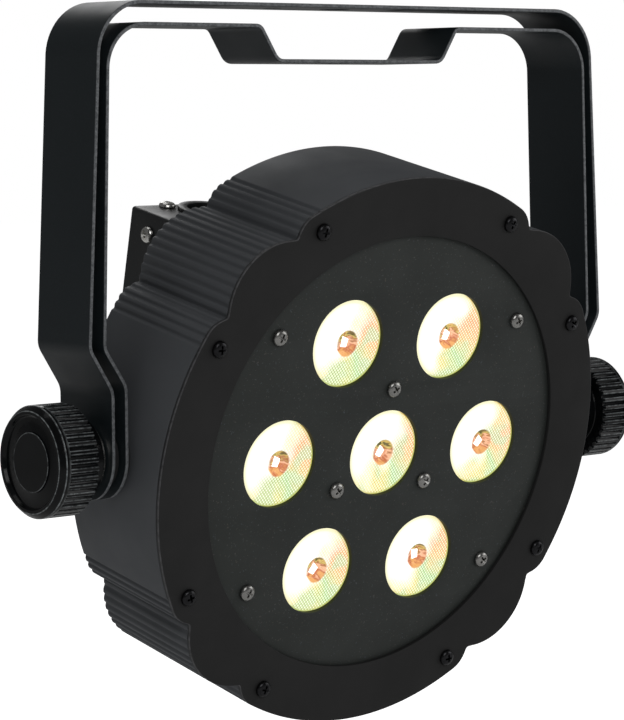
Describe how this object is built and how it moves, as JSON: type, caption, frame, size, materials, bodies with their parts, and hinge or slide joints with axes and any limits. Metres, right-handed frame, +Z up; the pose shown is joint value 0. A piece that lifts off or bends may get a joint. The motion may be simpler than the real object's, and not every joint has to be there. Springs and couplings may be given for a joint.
{
  "type": "par can light",
  "caption": "Slim LED par can stage light: a round lobed housing of collimated lenses with a rear control box, held in a double yoke by clamp knobs.",
  "frame": {"origin": "hang point: top face of the outer yoke's bar, over the middle of its clamp hole", "axes": "+Z up, +X along the tilt axis to the right as seen from the front, -Y the way the beam leaves"},
  "size_m": [0.252, 0.1061, 0.2411],
  "materials": {
    "cast_black": "matte powder coat over die-cast aluminium",
    "yoke_black": "satin fine-texture powder coat",
    "panel_black": "matte speckled powder coat",
    "box_black": "satin powder-coated sheet steel",
    "aluminium": "raw",
    "steel": "bright zinc",
    "black_steel": "black oxide",
    "knob_black": "gloss moulded",
    "plastic_black": "moulded",
    "display_red": "smoked window",
    "lens_clear": "lit micro-lensed acrylic",
    "nylon": "black nylon",
    "rubber": "matte",
    "board": "solder mask"
  },
  "bodies": {
    "outer_yoke": {"outer_yoke": "yoke_black"},
    "head": {"housing": "cast_black", "bezel": "cast_black", "front_panel": "panel_black", "rear_plate": "box_black", "led_board": "aluminium", "heat_sink": "aluminium", "rear_box": "box_black", "power_board": "board", "control_board": "board", "display_window": "display_red", "dmx_in_socket": "plastic_black", "dmx_out_socket": "plastic_black", "power_inlet": "plastic_black", "fuse_holder": "plastic_black", "safety_eye": "steel", "lens_1": "lens_clear", "panel_screw_1": "steel", "lens_2": "lens_clear", "panel_screw_2": "steel", "lens_3": "lens_clear", "panel_screw_3": "steel", "lens_4": "lens_clear", "panel_screw_4": "steel", "lens_5": "lens_clear", "panel_screw_5": "steel", "lens_6": "lens_clear", "panel_screw_6": "steel", "lens_7": "lens_clear", "panel_screw_7": "steel", "bezel_screw_1": "black_steel", "bezel_screw_2": "black_steel", "bezel_screw_3": "black_steel", "bezel_screw_4": "black_steel", "bezel_screw_5": "black_steel", "bezel_screw_6": "black_steel", "bezel_screw_7": "black_steel", "bezel_screw_8": "black_steel", "box_screw_1": "steel", "box_screw_2": "steel", "box_screw_3": "steel", "friction_pad_left": "rubber", "insert_left": "steel", "friction_pad_right": "rubber", "insert_right": "steel"},
    "inner_yoke": {"inner_yoke": "yoke_black", "spacer_left": "nylon", "spacer_right": "nylon"},
    "washer_left": {"washer_left": "steel"},
    "knob_left": {"knob_left": "knob_black", "stud_left": "steel"},
    "washer_right": {"washer_right": "steel"},
    "knob_right": {"knob_right": "knob_black", "stud_right": "steel"},
    "button_1": {"button_1": "plastic_black"},
    "button_2": {"button_2": "plastic_black"},
    "button_3": {"button_3": "plastic_black"},
    "button_4": {"button_4": "plastic_black"},
    "dmx_out_latch": {"dmx_out_latch": "steel"},
    "fuse_cap": {"fuse_cap": "plastic_black"}
  },
  "joints": [
    {"name": "head_tilt", "type": "hinge", "parent": "outer_yoke", "child": "head", "pos_m": [0, 0, -0.1434], "axis": [1, 0, 0], "range_deg": [-102, 78]},
    {"name": "inner_yoke_swing", "type": "hinge", "parent": "outer_yoke", "child": "inner_yoke", "pos_m": [0, 0, -0.1434], "axis": [1, 0, 0], "range_deg": [-180, 180]},
    {"name": "knob_left_travel", "type": "slide", "parent": "head", "child": "washer_left", "axis": [-1, 0, 0], "range_m": [0, 0.005]},
    {"name": "knob_left_turn", "type": "hinge", "parent": "washer_left", "child": "knob_left", "pos_m": [-0.12, 0, -0.1434], "axis": [-1, 0, 0], "range_deg": [0, 1441]},
    {"name": "knob_right_travel", "type": "slide", "parent": "head", "child": "washer_right", "axis": [1, 0, 0], "range_m": [0, 0.005]},
    {"name": "knob_right_turn", "type": "hinge", "parent": "washer_right", "child": "knob_right", "pos_m": [0.12, 0, -0.1434], "axis": [1, 0, 0], "range_deg": [0, 1441]},
    {"name": "button_1_press", "type": "slide", "parent": "head", "child": "button_1", "axis": [0, -0.9781, -0.2079], "range_m": [0, 0.001], "stiffness_N_per_m": 300},
    {"name": "button_2_press", "type": "slide", "parent": "head", "child": "button_2", "axis": [0, -0.9781, -0.2079], "range_m": [0, 0.001], "stiffness_N_per_m": 300},
    {"name": "button_3_press", "type": "slide", "parent": "head", "child": "button_3", "axis": [0, -0.9781, -0.2079], "range_m": [0, 0.001], "stiffness_N_per_m": 300},
    {"name": "button_4_press", "type": "slide", "parent": "head", "child": "button_4", "axis": [0, -0.9781, -0.2079], "range_m": [0, 0.001], "stiffness_N_per_m": 300},
    {"name": "dmx_out_latch_press", "type": "slide", "parent": "head", "child": "dmx_out_latch", "axis": [0, 0.2079, -0.9781], "range_m": [0, 0.0018], "stiffness_N_per_m": 400},
    {"name": "fuse_cap_turn", "type": "hinge", "parent": "head", "child": "fuse_cap", "pos_m": [0.024, 0.04825, -0.19244], "axis": [0, 0.2079, -0.9781], "range_deg": [0, 90]}
  ],
  "couplings": [
    {"joint": "knob_left_turn", "follows": "knob_left_travel", "rad_per_m": 5026.6},
    {"joint": "knob_right_turn", "follows": "knob_right_travel", "rad_per_m": 5026.6}
  ]
}
